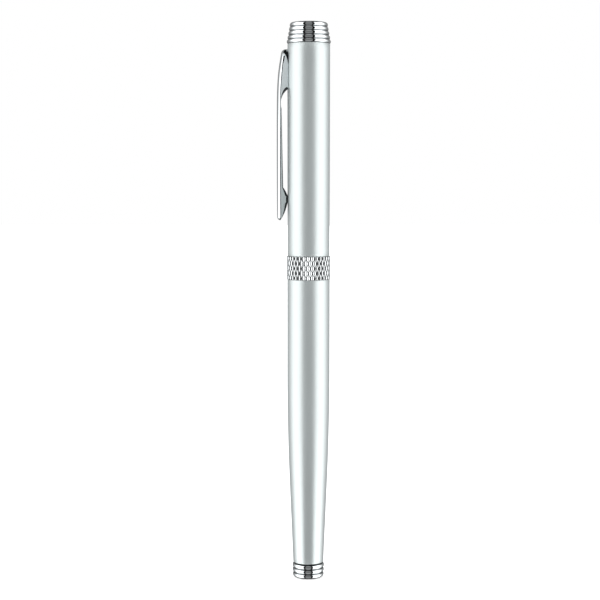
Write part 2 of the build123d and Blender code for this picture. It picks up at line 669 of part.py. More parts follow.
# ---- clip ----------------------------------------------------------------------------------
# Stamped strip with a domed face and folded sides. Each station is a height, a half width, the
# distance of the fold from the pen's axis, and the distance of the domed face from it.
CLIP_STATIONS = (
    (131.0, 1.70, 5.80, 6.50),
    (128.4, 1.80, 6.25, 6.95),
    (125.0, 1.80, 6.60, 7.44),
    (121.0, 1.76, 6.90, 7.71),
    (116.0, 1.68, 7.00, 7.79),
    (107.0, 1.56, 7.00, 7.81),
    (97.0, 1.42, 6.98, 7.78),
    (92.0, 1.35, 6.95, 7.74),
    (88.5, 1.30, 6.92, 7.68),
)
CLIP_TOP_Z = 130.6
CLIP_TIP_Z = 89.07
CLIP_REACH = 9.0              # outside everything the clip's sheet can reach
CLIP_GAP = 0.035              # between the clip and the cap tube
CLIP_SEAT_RADIUS = CAP_RADIUS + CLIP_GAP

# Points of the side view, from the top of the clip down its face and back up behind the arm.
CREST = (-5.7, CLIP_TOP_Z)
BROW_MIDDLE = (-6.42, 130.28)
BROW = (-6.78, 129.3)
TOE_FACE = (-7.72, 90.1)
TOE_MIDDLE = (-7.56, 89.36)
TOE = (-7.15, CLIP_TIP_Z)
HEEL = (-6.92, CLIP_TIP_Z)
RAMP_MIDDLE = (-5.97, 90.8)
PAD_FOOT = (-CLIP_SEAT_RADIUS, 93.2)
PAD_HEAD = (-CLIP_SEAT_RADIUS, 95.2)
THROAT_MIDDLE = (-5.7, 96.2)
ARM_FOOT = (-6.28, 97.1)
ARM_HEAD = (-6.66, 116.4)
EAR_MIDDLE = (-6.38, 119.6)
EAR_FOOT = (-CLIP_SEAT_RADIUS, 120.95)

# Front view: a rounded toe and an arched top.
TOE_HALF_WIDTH = 1.3
TOE_CORNER_Z = 90.5
SHOULDER_HALF_WIDTH = 1.75
SHOULDER_Z = 127.9
CLEAR_HALF_WIDTH = 2.5        # outside the strip

# Side view of the channel folded into the back of the strip.
CHANNEL_HALF_WIDTH = 0.8
CHANNEL_OUTLINE = (
    (-CAP_BORE_RADIUS, 128.2),
    (-6.2, 128.2),
    (-7.0, 122.0),
    (-7.1, 98.2),
    (-CAP_BORE_RADIUS, 98.2),
)

TONGUE_FOOT_Z = 128.65
TONGUE_TOP_Z = 130.1
TONGUE_TIP_X = -3.75
TONGUE_ROOT_X = -5.5
TONGUE_HALF_WIDTH = 1.05

with BuildPart() as clip:
    for station_z, half_width, fold, face in CLIP_STATIONS:
        with BuildSketch(Plane.XY.offset(station_z)):
            with BuildLine():
                Polyline(
                    (-fold, half_width),
                    (-CAP_BORE_RADIUS, half_width),
                    (-CAP_BORE_RADIUS, -half_width),
                    (-fold, -half_width),
                )
                ThreePointArc((-fold, -half_width), (-face, 0), (-fold, half_width))
            make_face()
    loft()
    # Side view: rounded top, deep sides at the root, a slim arm, and the pad above the tip.
    with BuildSketch(Plane.XZ):
        with BuildLine():
            Line((-CAP_BORE_RADIUS, CLIP_TOP_Z), CREST)
            ThreePointArc(CREST, BROW_MIDDLE, BROW)
            Polyline(BROW, (-CLIP_REACH, BROW[1]), (-CLIP_REACH, TOE_FACE[1]), TOE_FACE)
            ThreePointArc(TOE_FACE, TOE_MIDDLE, TOE)
            Line(TOE, HEEL)
            ThreePointArc(HEEL, RAMP_MIDDLE, PAD_FOOT)
            Polyline(
                PAD_FOOT,
                (-CAP_BORE_RADIUS, PAD_FOOT[1]),
                (-CAP_BORE_RADIUS, PAD_HEAD[1]),
                PAD_HEAD,
            )
            ThreePointArc(PAD_HEAD, THROAT_MIDDLE, ARM_FOOT)
            Line(ARM_FOOT, ARM_HEAD)
            ThreePointArc(ARM_HEAD, EAR_MIDDLE, EAR_FOOT)
            Polyline(EAR_FOOT, (-CAP_BORE_RADIUS, EAR_FOOT[1]), (-CAP_BORE_RADIUS, CLIP_TOP_Z))
        make_face()
    extrude(amount=CLEAR_HALF_WIDTH, both=True, mode=Mode.INTERSECT)
    # Front view.
    with BuildSketch(Plane.YZ):
        with BuildLine():
            for side in (-1, 1):
                Polyline(
                    (side * TOE_HALF_WIDTH, TOE_CORNER_Z),
                    (side * CLEAR_HALF_WIDTH, TOE_CORNER_Z),
                    (side * CLEAR_HALF_WIDTH, SHOULDER_Z),
                    (side * SHOULDER_HALF_WIDTH, SHOULDER_Z),
                )
            ThreePointArc(
                (-SHOULDER_HALF_WIDTH, SHOULDER_Z),
                (0, CLIP_TOP_Z),
                (SHOULDER_HALF_WIDTH, SHOULDER_Z),
            )
            ThreePointArc(
                (-TOE_HALF_WIDTH, TOE_CORNER_Z),
                (0, CLIP_TIP_Z),
                (TOE_HALF_WIDTH, TOE_CORNER_Z),
            )
        make_face()
    extrude(amount=-CLIP_REACH, mode=Mode.INTERSECT)
    with BuildSketch(Plane.XZ):
        with BuildLine():
            Polyline(*CHANNEL_OUTLINE, close=True)
        make_face()
    extrude(amount=CHANNEL_HALF_WIDTH, both=True, mode=Mode.SUBTRACT)
    with BuildSketch(Plane.XY.offset(CLIP_TIP_Z)):
        Circle(CLIP_SEAT_RADIUS)
    extrude(amount=CLIP_TOP_Z - CLIP_TIP_Z, mode=Mode.SUBTRACT)
    # Tongue through the slot in the tube.
    with BuildSketch(Plane.XY.offset(TONGUE_FOOT_Z)):
        with Locations((0.5 * (TONGUE_TIP_X + TONGUE_ROOT_X), 0)):
            Rectangle(TONGUE_TIP_X - TONGUE_ROOT_X, 2 * TONGUE_HALF_WIDTH)
    extrude(amount=TONGUE_TOP_Z - TONGUE_FOOT_Z)

clip.part.label = "clip"
export_step(clip.part, "parts/clip.step")
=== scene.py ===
import json
import math

import bmesh
import bpy
import numpy as np
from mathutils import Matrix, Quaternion, Vector


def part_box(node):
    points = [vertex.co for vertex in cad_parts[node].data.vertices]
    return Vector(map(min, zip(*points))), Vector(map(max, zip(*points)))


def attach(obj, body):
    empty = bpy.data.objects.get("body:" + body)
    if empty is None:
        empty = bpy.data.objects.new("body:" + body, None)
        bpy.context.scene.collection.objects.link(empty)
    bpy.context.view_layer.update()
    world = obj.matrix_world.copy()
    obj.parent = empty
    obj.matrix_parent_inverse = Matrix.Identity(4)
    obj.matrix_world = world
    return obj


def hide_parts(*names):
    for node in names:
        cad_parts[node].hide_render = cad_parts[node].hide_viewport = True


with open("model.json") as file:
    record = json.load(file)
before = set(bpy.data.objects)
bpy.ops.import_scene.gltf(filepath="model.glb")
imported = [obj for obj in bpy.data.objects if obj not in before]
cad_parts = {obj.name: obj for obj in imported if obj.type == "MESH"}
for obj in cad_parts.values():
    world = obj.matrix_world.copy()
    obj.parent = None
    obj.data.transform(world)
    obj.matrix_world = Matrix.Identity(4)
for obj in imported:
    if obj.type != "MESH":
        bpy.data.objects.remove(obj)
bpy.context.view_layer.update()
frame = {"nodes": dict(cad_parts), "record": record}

# Scripts and CAD share one frame: Z up from the tail to the crown, the clip on the -X side. Sizes
# here are in millimetres and are turned into metres where a mesh or a node takes them.
MM = 0.001
TURN = 2 * math.pi

# Sizes that both a shape and a material, or two pieces, go by.
KNURL_LOW = 5.10  # radius of the knurl's valleys
FOLD_TURN = 128.6  # height above which the clip's fold rolls over to its top
FOOT_OF_EAR = 121.0  # height of the lowest point where the clip's ears sit on the cap
SHOULDER_TOP = 130.05  # height above which the whole clip is polished
NOSE_FOOT = 103.0  # height of the nose cone's hidden end, inside the grip


def low_z(node):
    """Lowest height of a CAD node, in millimetres."""
    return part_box(node)[0].z / MM


def high_z(node):
    """Highest height of a CAD node, in millimetres."""
    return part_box(node)[1].z / MM


def outer_radius(node):
    """Largest distance of a CAD node from the pen's axis, in millimetres."""
    points = np.array([v.co[:2] for v in frame["nodes"][node].data.vertices])
    return float(np.hypot(points[:, 0], points[:, 1]).max()) / MM


# ---- node trees ----------------------------------------------------------------------------
class Tree:
    """A node tree under construction, with short calls for the nodes that repeat."""

    def __init__(self, tree):
        self.tree = tree

    def node(self, kind, **values):
        made = self.tree.nodes.new(kind)
        for key, value in values.items():
            setattr(made, key, value)
        return made

    def feed(self, socket, value):
        """Links a socket to a socket, or gives it a plain value."""
        if isinstance(value, bpy.types.NodeSocket):
            self.tree.links.new(value, socket)
        else:
            socket.default_value = value

    def maths(self, operation, *values, clamp=False):
        made = self.node("ShaderNodeMath", operation=operation, use_clamp=clamp)
        for socket, value in zip(made.inputs, values):
            self.feed(socket, value)
        return made.outputs[0]

    def split(self, vector):
        """The x, y and z of a vector."""
        made = self.node("ShaderNodeSeparateXYZ")
        self.feed(made.inputs[0], vector)
        return made.outputs

    def colours(self, factor, stops, interpolation="LINEAR"):
        """A colour ramp through stops of (place, colour)."""
        made = self.node("ShaderNodeValToRGB")
        ramp = made.color_ramp
        ramp.interpolation = interpolation
        for number, (place, colour) in enumerate(stops):
            element = ramp.elements[number] if number < 2 else ramp.elements.new(place)
            element.position = place
            element.color = (*colour, 1)
        self.feed(made.inputs["Fac"], factor)
        return made.outputs["Color"]

    def greys(self, factor, stops, interpolation="LINEAR"):
        """A ramp of greys through stops of (place, brightness)."""
        return self.colours(factor, [(place, (grey, grey, grey)) for place, grey in stops], interpolation)


class Shader(Tree):
    """A material made of nodes round one Principled shader, on object coordinates."""

    def __init__(self, name):
        self.material = bpy.data.materials.new(name)
        self.material.use_nodes = True
        super().__init__(self.material.node_tree)
        self.surface = self.tree.nodes["Principled BSDF"]
        self.place = self.node("ShaderNodeTexCoord").outputs["Object"]

    def noise(self, scale, detail=4.0, stretch=(1, 1, 1)):
        """Noise with scale cells to the metre, times stretch along x, y and z."""
        mapping = self.node("ShaderNodeMapping")
        mapping.inputs["Scale"].default_value = stretch
        self.feed(mapping.inputs["Vector"], self.place)
        made = self.node("ShaderNodeTexNoise")
        made.inputs["Scale"].default_value = scale
        made.inputs["Detail"].default_value = detail
        self.feed(made.inputs["Vector"], mapping.outputs["Vector"])
        return made.outputs["Fac"]

    def between(self, factor, low, high, start=0.0, end=1.0):
        """Factor from start to end mapped to low to high, and held there beyond."""
        made = self.node("ShaderNodeMapRange")
        made.inputs["From Min"].default_value = start
        made.inputs["From Max"].default_value = end
        made.inputs["To Min"].default_value = low
        made.inputs["To Max"].default_value = high
        self.feed(made.inputs["Value"], factor)
        return made.outputs["Result"]

    def facing(self, normal=None):
        """0 where the surface, or the normal given, faces the viewer, and 1 where it is edge on."""
        made = self.node("ShaderNodeLayerWeight")
        if normal is not None:
            self.feed(made.inputs["Normal"], normal)
        return made.outputs["Facing"]

    def bump(self, height, distance, strength=1.0):
        made = self.node("ShaderNodeBump")
        made.inputs["Strength"].default_value = strength
        made.inputs["Distance"].default_value = distance
        self.feed(made.inputs["Height"], height)
        return made.outputs["Normal"]

    def set(self, **values):
        """Principled inputs by name, with underscores for spaces."""
        for key, value in values.items():
            self.feed(self.surface.inputs[key.replace("_", " ")], value)
        return self.material


# ---- materials -----------------------------------------------------------------------------
def satin_lacquer():
    """Silver lacquer: a fine metal flake in a pale binder, under a thin clear coat, a little smoother
    towards the pen's tail."""
    smooth_z, satin_z, smoother = 4.0, 45.0, 0.06
    s = Shader("satin_lacquer")
    flake = s.noise(26000, 2.0)
    cloud = s.noise(500, 3.0, (1, 1, 0.2))
    tone = s.colours(flake, [(0.3, (0.70, 0.75, 0.75)), (0.7, (0.76, 0.81, 0.81))])
    tailward = s.between(s.split(s.place)[2], 1.0, 0.0, smooth_z * MM, satin_z * MM)
    rough = s.maths("SUBTRACT", s.between(cloud, 0.40, 0.42, 0.35, 0.65),
                    s.maths("MULTIPLY", tailward, smoother))
    grain = s.bump(flake, 0.0000015, 0.3)
    return s.set(Base_Color=tone, Metallic=0.66, Roughness=rough, Normal=grain,
                 Specular_IOR_Level=0.3, Coat_Weight=0.08, Coat_Roughness=0.2)


def polishing_ripple(s):
    """The faint waviness that a buffing wheel leaves on chrome."""
    return s.bump(s.noise(700, 2.0), 0.000002, 0.4)


def polished_chrome():
    """Polished chrome plate with faint polishing haze."""
    s = Shader("polished_chrome")
    haze = s.noise(1500, 5.0)
    tone = s.colours(haze, [(0.3, (0.83, 0.87, 0.88)), (0.7, (0.89, 0.92, 0.93))])
    rough = s.between(haze, 0.04, 0.08, 0.35, 0.65)
    return s.set(Base_Color=tone, Metallic=1.0, Roughness=rough, Normal=polishing_ripple(s))


PAINTED_GROOVE_SHADE = (0.012, 0.014, 0.016)  # colour of the painted shade in the beads' grooves and the knurl's valleys


def beaded_chrome():
    """Chrome on the turned beads, with painted shade darkening the grooves between them."""
    reach, groove_dark, groove_unshaded = 0.7, 0.52, 0.95
    s = Shader("beaded_chrome")
    # Painted shade: ambient occlusion paints the grooves dark, down to the painted groove shade colour.
    open_sky = s.node("ShaderNodeAmbientOcclusion", samples=12)
    open_sky.inputs["Distance"].default_value = reach * MM
    haze = s.noise(2200, 5.0)
    unshaded = s.between(open_sky.outputs["AO"], 0.0, 1.0, groove_dark, groove_unshaded)
    unshaded = s.maths("ADD", unshaded, s.between(haze, -0.05, 0.05), clamp=True)
    tone = s.colours(unshaded, [(0.0, PAINTED_GROOVE_SHADE), (0.5, (0.28, 0.30, 0.31)), (1.0, (0.86, 0.90, 0.91))])
    return s.set(Base_Color=tone, Metallic=1.0, Roughness=s.between(haze, 0.03, 0.06),
                 Normal=polishing_ripple(s))


def knurled_chrome():
    """Chrome on a cut knurl: bright crests, painted shade in the valleys, painted shade greying the
    flanks seen obliquely, and by the band's outline, where only flanks show, a painted highlight then a
    duller painted tone."""
    bright_radius = 5.235
    # Stops of painted light by how edge on the band is seen: a painted highlight near 0.2, painted shade
    # towards the outline.
    outline_light_by_facing = ((0.0, 0.95), (0.2, 1.25), (0.45, 0.72), (1.0, 0.58))
    s = Shader("knurled_chrome")
    x, y, _ = s.split(s.place)
    outward = s.node("ShaderNodeCombineXYZ")
    s.feed(outward.inputs[0], x)
    s.feed(outward.inputs[1], y)
    radius = s.node("ShaderNodeVectorMath", operation="LENGTH")
    s.feed(radius.inputs[0], outward.outputs[0])
    # Painted shade in the valleys: darker from bright_radius down to the valley radius, with random tone
    # added.
    depth = s.between(radius.outputs["Value"], 0.0, 1.0, KNURL_LOW * MM, bright_radius * MM)
    valley_shade_and_wear = s.maths("ADD", depth, s.between(s.noise(2600, 4.0), -0.12, 0.12), clamp=True)
    # Painted shade: faces seen obliquely are painted greyer.
    oblique_shade = s.between(s.facing(), 1.0, 0.3, 0.3, 0.62)
    seen_outward = s.node("ShaderNodeVectorTransform", vector_type="NORMAL", convert_from="OBJECT",
                          convert_to="WORLD")
    s.feed(seen_outward.inputs[0], outward.outputs[0])
    # Painted light and shade set by where the band is seen edge on.
    painted_outline_light = s.greys(s.facing(seen_outward.outputs[0]), outline_light_by_facing)
    lit = s.maths("MULTIPLY", s.maths("MULTIPLY", valley_shade_and_wear, oblique_shade), painted_outline_light)
    tone = s.colours(lit, [(0.0, PAINTED_GROOVE_SHADE), (0.4, (0.10, 0.11, 0.115)), (0.85, (0.90, 0.93, 0.94))])
    return s.set(Base_Color=tone, Metallic=1.0, Roughness=s.between(depth, 0.34, 0.14))


def brushed_chrome():
    """Chrome on the sheared sides of the clip, brushed along its length, duller towards the tip.
    Above a parabola under the shoulder the side is painted dark, a painted shade where it rolls over to the
    top."""
    dull_z, bright_z = 95.0, 121.0
    shoulder_x, shoulder_z, shoulder_bend, soft_edge = -6.05, 129.45, 2.2, 0.12
    s = Shader("brushed_chrome")
    strokes = s.noise(5000, 3.0, (1, 1, 0.02))
    x, _, z = s.split(s.place)
    # Darker towards the tip, with the brushing strokes added.
    along = s.between(z, 0.0, 1.0, dull_z * MM, bright_z * MM)
    height_and_strokes = s.maths("ADD", along, s.between(strokes, -0.06, 0.06, 0.3, 0.7))
    tone = s.colours(height_and_strokes, [(0.0, (0.64, 0.70, 0.71)), (1.0, (0.86, 0.92, 0.94))])
    # Painted shade: above the parabola the side is painted near black, with less metal and roughness.
    aside = s.maths("SUBTRACT", x, shoulder_x * MM)
    fall = s.maths("MULTIPLY", s.maths("MULTIPLY", aside, aside), shoulder_bend / MM)
    over = s.maths("SUBTRACT", s.maths("ADD", z, fall), shoulder_z * MM)
    dark = s.between(over, 0.0, 1.0, -soft_edge * MM, soft_edge * MM)
    mixed = s.node("ShaderNodeMix", data_type="RGBA")
    s.feed(mixed.inputs["Factor"], dark)
    s.feed(mixed.inputs["A"], tone)
    mixed.inputs["B"].default_value = (0.03, 0.033, 0.036, 1)
    rough = s.maths("SUBTRACT", s.between(strokes, 0.38, 0.46), s.maths("MULTIPLY", dark, 0.16))
    return s.set(Base_Color=mixed.outputs["Result"], Metallic=s.between(dark, 0.45, 1.0), Roughness=rough,
                 Specular_IOR_Level=0.4, Normal=s.bump(strokes, 0.000002, 0.4))


def turned_metal(name, dark, light, roughness):
    """Lathe-turned metal: fine rings round the axis."""
    s = Shader(name)
    rings = s.noise(900, 3.0, (0.02, 0.02, 14))
    tone = s.colours(s.noise(500, 4.0), [(0.3, dark), (0.7, light)])
    rough = s.between(rings, roughness - 0.06, roughness + 0.08, 0.3, 0.7)
    return s.set(Base_Color=tone, Metallic=1.0, Roughness=rough, Normal=s.bump(rings, 0.00001, 0.5))


def moulded_plastic(name, dark, light, roughness, coat=0.0):
    """Moulded plastic with a faint orange peel."""
    s = Shader(name)
    peel = s.noise(2200, 3.0)
    tone = s.colours(s.noise(300, 4.0), [(0.3, dark), (0.7, light)])
    rough = s.between(peel, roughness - 0.03, roughness + 0.05, 0.3, 0.7)
    return s.set(Base_Color=tone, Metallic=0.0, Roughness=rough, Coat_Weight=coat,
                 Coat_Roughness=0.05, Normal=s.bump(peel, 0.000004, 0.3))


def inked_fibre():
    """Polyester fibre soaked with ink: strands along the axis."""
    s = Shader("inked_fibre")
    strands = s.noise(7000, 4.0, (1, 1, 0.03))
    tone = s.colours(strands, [(0.35, (0.004, 0.006, 0.03)), (0.65, (0.03, 0.045, 0.14))])
    return s.set(Base_Color=tone, Roughness=s.between(strands, 0.5, 0.85),
                 Normal=s.bump(strands, 0.00004, 0.8))


# The record's material slots.
MATERIALS = {
    "satin_silver": satin_lacquer(),
    "chrome": polished_chrome(),
    "brass": turned_metal("turned_brass", (0.62, 0.42, 0.16), (0.80, 0.60, 0.28), 0.25),
    "spring_steel": turned_metal("spring_steel", (0.42, 0.43, 0.45), (0.62, 0.63, 0.64), 0.28),
    "stainless": turned_metal("turned_stainless", (0.55, 0.56, 0.56), (0.72, 0.72, 0.71), 0.24),
    "screw_steel": turned_metal("screw_steel", (0.42, 0.43, 0.46), (0.60, 0.60, 0.62), 0.34),
    "carbide": turned_metal("ball_carbide", (0.30, 0.30, 0.32), (0.42, 0.42, 0.44), 0.14),
    "grip_black": moulded_plastic("grip_resin", (0.006, 0.006, 0.007), (0.014, 0.014, 0.016), 0.16, 0.6),
    "liner_plastic": moulded_plastic("liner_plastic", (0.05, 0.05, 0.055), (0.09, 0.09, 0.095), 0.5),
    "refill_plastic": moulded_plastic("refill_plastic", (0.72, 0.72, 0.69), (0.82, 0.82, 0.8), 0.34),
    "holder_plastic": moulded_plastic("holder_plastic", (0.008, 0.012, 0.05), (0.016, 0.022, 0.08), 0.3),
    "ink_fibre": inked_fibre(),
}
# Finer finishes of chrome pieces. The clip has one for each of its kinds of face.
KNURL = knurled_chrome()
BEADS = beaded_chrome()
CLIP_FINISHES = [
    MATERIALS["chrome"],
    brushed_chrome(),
    # Painted shade along the clip's rounded free edges and in its fold.
    turned_metal("painted_clip_edge_shade", (0.03, 0.033, 0.036), (0.07, 0.075, 0.08), 0.22),
]
POLISHED, BRUSHED, PAINTED_EDGE_SHADE = range(len(CLIP_FINISHES))


# ---- mesh tools ----------------------------------------------------------------------------
SHARP = math.radians(35)


def node_row(node):
    """(body, material slot) of a CAD node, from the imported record."""
    bodies = frame["record"]["behaviour"]["bodies"]
    body = next(name for name, members in bodies.items() if node in members)
    slot = next(row["material_slot"] for row in frame["record"]["subparts"] if row["node"] == node)
    return body, slot


def new_piece(name, node, mesh, finishes=None):
    """Makes a piece that stands for a CAD node, on its body and with its slot. Its materials are
    finishes, by the faces' material_index, or else the slot's own."""
    for edge in mesh.edges:
        if len(edge.link_faces) == 2 and edge.calc_face_angle() > SHARP:
            edge.smooth = False
    for face in mesh.faces:
        face.smooth = True
    bmesh.ops.recalc_face_normals(mesh, faces=mesh.faces)
    data = bpy.data.meshes.new(name)
    mesh.to_mesh(data)
    mesh.free()
    piece = bpy.data.objects.new(name, data)
    bpy.context.scene.collection.objects.link(piece)
    body, slot = node_row(node)
    for finish in finishes or [MATERIALS[slot]]:
        data.materials.append(finish)
    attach(piece, body)
    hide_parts(node)
    return piece


def skin_between(mesh, lower, upper):
    """Faces between two rings of vertices."""
    for number in range(len(lower)):
        after = (number + 1) % len(lower)
        mesh.faces.new((lower[number], lower[after], upper[after], upper[number]))


def skin(mesh, loops, closed):
    """Faces between successive loops of points; closed joins the last loop to the first."""
    rows = [[mesh.verts.new(point) for point in loop] for loop in loops]
    for lower, upper in zip(rows, rows[1:]):
        skin_between(mesh, lower, upper)
    if closed:
        skin_between(mesh, rows[-1], rows[0])
    return rows


def at_angle(radius, angle, z):
    """A point in metres, at a radius, an angle round the pen's axis and a height."""
    return Vector((radius * math.cos(angle), radius * math.sin(angle), z)) * MM


def lathe(name, node, outline, segments=192, wave=None, finish=None):
    """Turns an outline of (radius, height) points round the pen's axis. An outline that starts and
    ends on the axis makes a solid, any other one a ring. wave(angle, radius, z) changes radii."""
    mesh = bmesh.new()
    solid = outline[0][0] == 0 and outline[-1][0] == 0
    loops = []
    for radius, z in outline[1:-1] if solid else outline:
        angles = [TURN * number / segments for number in range(segments)]
        loops.append([at_angle(wave(angle, radius, z) if wave else radius, angle, z) for angle in angles])
    rows = skin(mesh, loops, closed=not solid)
    if solid:
        for row, (_, z) in ((rows[0], outline[0]), (rows[-1], outline[-1])):
            centre = mesh.verts.new((0, 0, z * MM))
            for number in range(segments):
                mesh.faces.new((row[number], row[(number + 1) % segments], centre))
    return new_piece(name, node, mesh, [finish] if finish else None)


def bend_at(start, corner, end, t):
    """A point of the smooth bend from start past corner to end, t from 0 to 1."""
    return start * (1 - t) ** 2 + corner * 2 * t * (1 - t) + end * t ** 2


def rounded(outline, radius, steps=3):
    """The closed outline with its corners rounded; a corner of under 20 degrees stays."""
    made = []
    for number, corner in enumerate(outline):
        here = Vector(corner)
        before = Vector(outline[number - 1]) - here
        after = Vector(outline[(number + 1) % len(outline)]) - here
        if math.pi - before.angle(after) < math.radians(20):
            made.append(corner)
            continue
        reach = min(radius, 0.4 * before.length, 0.4 * after.length)
        start = here + before.normalized() * reach
        end = here + after.normalized() * reach
        made += [tuple(bend_at(start, here, end, step / steps)) for step in range(steps + 1)]
    return made


def arc(start, middle, end, steps):
    """Points on the circle through three points, without the first one."""
    a, b, c = (complex(*point) for point in (start, middle, end))
    w = (c - a) / (b - a)
    centre = (b - a) * (w - abs(w) ** 2) / (2j * w.imag) + a
    radius = abs(a - centre)
    first = math.atan2((a - centre).imag, (a - centre).real)
    half_way, last = (
        ((math.atan2((p - centre).imag, (p - centre).real) - first + math.pi) % TURN) - math.pi
        for p in (b, c))
    if half_way * last < 0 or abs(half_way) > abs(last):
        last -= math.copysign(TURN, last)
    return [(centre.real + radius * math.cos(first + last * step / steps),
             centre.imag + radius * math.sin(first + last * step / steps))
            for step in range(1, steps + 1)]


def smooth_through(places, values):
    """A smooth curve through the points, as a function."""
    slopes = np.gradient(values, places)

    def at(z):
        k = int(np.clip(np.searchsorted(places, z) - 1, 0, len(places) - 2))
        width = places[k + 1] - places[k]
        t = (z - places[k]) / width
        return float(
            (2 * t ** 3 - 3 * t ** 2 + 1) * values[k] + (t ** 3 - 2 * t ** 2 + t) * width * slopes[k]
            + (3 * t ** 2 - 2 * t ** 3) * values[k + 1] + (t ** 3 - t ** 2) * width * slopes[k + 1])
    return at


def straight_through(points, z):
    """Distance from the axis at a height, on a line through (distance, height) points, lowest first."""
    return float(np.interp(z, [point[1] for point in points], [point[0] for point in points]))


# ---- barrel and cap ------------------------------------------------------------------------
def barrel():
    """Barrel: straight, a long easy curve, then a straight taper to the tail."""
    bottom, top = low_z("barrel_tube"), high_z("barrel_tube")
    radius = outer_radius("barrel_tube")
    wall, ease = 0.6, 0.09
    curve_top, curve_foot, slope = 51.0, 24.5, 0.0432
    drop = 0.5 * slope * (curve_top - curve_foot)
    tail_radius = radius - drop - slope * (curve_foot - bottom)

    def radius_at(z):
        if z >= curve_top:
            return radius
        if z >= curve_foot:
            return radius - drop * ((curve_top - z) / (curve_top - curve_foot)) ** 2
        return tail_radius + slope * (z - bottom)

    heights = [float(z) for z in np.linspace(bottom + ease, top - ease, 56)]
    outside = [(tail_radius - ease, bottom)]
    outside += arc(outside[0], (tail_radius - 0.3 * ease, bottom + 0.3 * ease),
                   (radius_at(heights[0]), heights[0]), 4)
    outside += [(radius_at(z), z) for z in heights[1:]]
    outside += arc((radius, top - ease), (radius - 0.3 * ease, top - 0.3 * ease), (radius - ease, top), 4)
    inside = [(radius_at(z) - wall, z) for z in reversed(heights)]
    inside[0] = (radius - wall, top)
    inside[-1] = (tail_radius - wall, bottom)
    return lathe("barrel_shell", "barrel_tube", outside + inside, 256)


def beads(foot, radii, pitch, groove_radii, steps=14):
    """Outline of stacked beads from the height foot up, starting at the first groove."""
    made = [(groove_radii[0], foot)]
    for number, radius in enumerate(radii):
        end = (groove_radii[number + 1], foot + (number + 1) * pitch)
        made += arc(made[-1], (radius, foot + (number + 0.5) * pitch), end, steps)
    return made


def tail():
    """Tail: three beads, a narrow neck under the barrel and a spigot inside it."""
    bottom, barrel_foot, top = low_z("tail_plug"), low_z("barrel_tube"), high_z("tail_plug")
    radii, grooves = (3.85, 3.91, 3.95), (3.4, 3.54, 3.59, 3.61)
    face_radius, neck_radius, neck, spigot = 3.2, 3.38, 0.28, 2.6
    outline = [(0, bottom), (face_radius, bottom)]
    outline += beads(bottom, radii, (barrel_foot - neck - bottom) / len(radii), grooves)
    outline += [(neck_radius, barrel_foot - neck), (neck_radius, barrel_foot)]
    outline += [(spigot, barrel_foot), (spigot, top), (0, top)]
    return lathe("tail_beads", "tail_plug", outline, 256, finish=BEADS)


def crown():
    """Crown: five beads on a spigot, which is bored from below for the screw."""
    bottom, top = low_z("cap_crown"), high_z("cap_crown")
    tube_top = high_z("cap_tube")
    radii = (5.36, 5.17, 4.975, 4.80, 4.63)
    grooves = (5.02, 5.0, 4.805, 4.63, 4.46, 4.2)
    bore, bore_top, spigot, face_radius = 1.26, 134.3, 4.73, 4.05
    outline = [(0, bore_top), (bore, bore_top), (bore, bottom), (spigot, bottom), (spigot, tube_top)]
    outline += beads(tube_top, radii, (top - tube_top) / len(radii), grooves)
    outline += [(face_radius, top), (0, top)]
    return lathe("crown_beads", "cap_crown", outline, 256, finish=BEADS)


def band():
    """Diamond knurl: pillowed teeth between two families of crossing V grooves. The grid's squares
    are halved along the nearer groove, so both families stay sharp."""
    bottom, top = low_z("cap_band"), high_z("cap_band")
    peak, bore, recess, recess_top = outer_radius("cap_band"), 4.75, 4.89, bottom + 0.5
    count, steps, tooth_height = 31, 14, 2.4
    pillow, flank, lip = 1.8, 0.8, 0.05
    first_angle = math.radians(274.7)
    mid, rise = 0.5 * (bottom + top), tooth_height / steps
    rows = int((top - mid) / rise)
    heights = [bottom, bottom + lip] + [mid + k * rise for k in range(-rows, rows + 1)] + [top - lip, top]
    columns = count * steps

    def crests(column, z):
        """0 at a groove and 1 half way between two, for each family of grooves."""
        around, along = column / steps, (z - mid) / tooth_height
        for turns in (around + along + 0.5, around - along + 0.5):
            yield 1 - (2 * abs(turns - round(turns))) ** pillow

    def tooth(column, z):
        rising, falling = crests(column, z)
        return KNURL_LOW + (peak - KNURL_LOW) * (rising * falling) ** flank

    def ring(radius_at, z):
        return [mesh.verts.new(at_angle(radius_at(column), first_angle + TURN * column / columns, z))
                for column in range(columns)]

    mesh = bmesh.new()
    grid = [ring(lambda column: KNURL_LOW, bottom)]
    grid += [ring(lambda column: tooth(column, z), z) for z in heights[1:-1]]
    grid.append(ring(lambda column: KNURL_LOW, top))
    for row, z in enumerate(heights[:-1]):
        for column in range(columns):
            after = (column + 1) % columns
            a, b = grid[row][column], grid[row][after]
            c, d = grid[row + 1][after], grid[row + 1][column]
            rising, falling = crests(column + 0.5, 0.5 * (z + heights[row + 1]))
            if rising < falling:
                mesh.faces.new((a, b, d))
                mesh.faces.new((b, c, d))
            else:
                mesh.faces.new((a, b, c))
                mesh.faces.new((a, c, d))
    inside = [(bore, top), (bore, recess_top), (recess, recess_top), (recess, bottom)]
    rings = [grid[-1]] + [ring(lambda column: radius, z) for radius, z in inside] + [grid[0]]
    for lower, upper in zip(rings, rings[1:]):
        skin_between(mesh, lower, upper)
    return new_piece("knurled_band", "cap_band", mesh, [KNURL])


